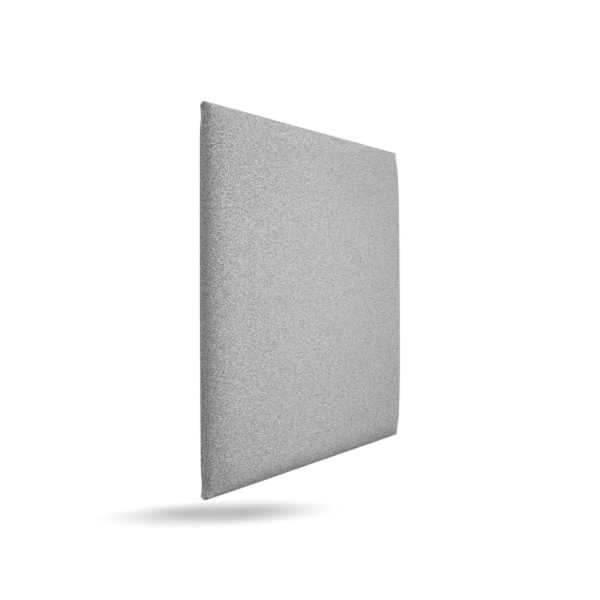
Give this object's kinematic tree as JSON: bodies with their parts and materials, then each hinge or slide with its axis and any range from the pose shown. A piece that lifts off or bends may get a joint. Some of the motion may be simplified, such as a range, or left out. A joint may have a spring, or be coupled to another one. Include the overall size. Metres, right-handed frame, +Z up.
{
  "type": "upholstered wall panel",
  "caption": "Square padded wall panel: a board with foam and wadding under one stretched melange cloth, stapled behind, with keyhole hangers and felt pads.",
  "frame": {"origin": "on the wall plane, which the backs of the felt pads touch, behind the middle of the panel", "axes": "+Z up, +Y from the panel into the wall, the padded face looks along -Y, +X to the right of someone who faces the panel"},
  "size_m": [0.604, 0.0418, 0.604],
  "materials": {
    "grey_melange_cloth": "plain woven light grey melange upholstery cloth",
    "white_wadding": "soft white polyester wadding",
    "pale_foam": "open-cell foam",
    "fibreboard": "raw medium-density fibreboard",
    "zinc_wire": "zinc-plated flat wire",
    "zinc_plate": "zinc-plated pressed steel",
    "dark_felt": "pressed felt"
  },
  "bodies": {
    "root": {"fabric_cover": "grey_melange_cloth", "wadding_layer": "white_wadding", "foam_pad": "pale_foam", "backing_board": "fibreboard", "hanger_plate_left": "zinc_plate", "hanger_plate_right": "zinc_plate", "hanger_screw_1": "zinc_plate", "hanger_screw_2": "zinc_plate", "hanger_screw_3": "zinc_plate", "hanger_screw_4": "zinc_plate", "wall_pad_1": "dark_felt", "wall_pad_2": "dark_felt", "wall_pad_3": "dark_felt", "wall_pad_4": "dark_felt", "staple_top_1": "zinc_wire", "staple_top_2": "zinc_wire", "staple_top_3": "zinc_wire", "staple_top_4": "zinc_wire", "staple_top_5": "zinc_wire", "staple_top_6": "zinc_wire", "staple_top_7": "zinc_wire", "staple_top_8": "zinc_wire", "staple_bottom_1": "zinc_wire", "staple_bottom_2": "zinc_wire", "staple_bottom_3": "zinc_wire", "staple_bottom_4": "zinc_wire", "staple_bottom_5": "zinc_wire", "staple_bottom_6": "zinc_wire", "staple_bottom_7": "zinc_wire", "staple_bottom_8": "zinc_wire", "staple_left_1": "zinc_wire", "staple_left_2": "zinc_wire", "staple_left_3": "zinc_wire", "staple_left_4": "zinc_wire", "staple_left_5": "zinc_wire", "staple_left_6": "zinc_wire", "staple_left_7": "zinc_wire", "staple_left_8": "zinc_wire", "staple_right_1": "zinc_wire", "staple_right_2": "zinc_wire", "staple_right_3": "zinc_wire", "staple_right_4": "zinc_wire", "staple_right_5": "zinc_wire", "staple_right_6": "zinc_wire", "staple_right_7": "zinc_wire", "staple_right_8": "zinc_wire", "staple_corner_1": "zinc_wire", "staple_corner_2": "zinc_wire", "staple_corner_3": "zinc_wire", "staple_corner_4": "zinc_wire"}
  },
  "joints": []
}
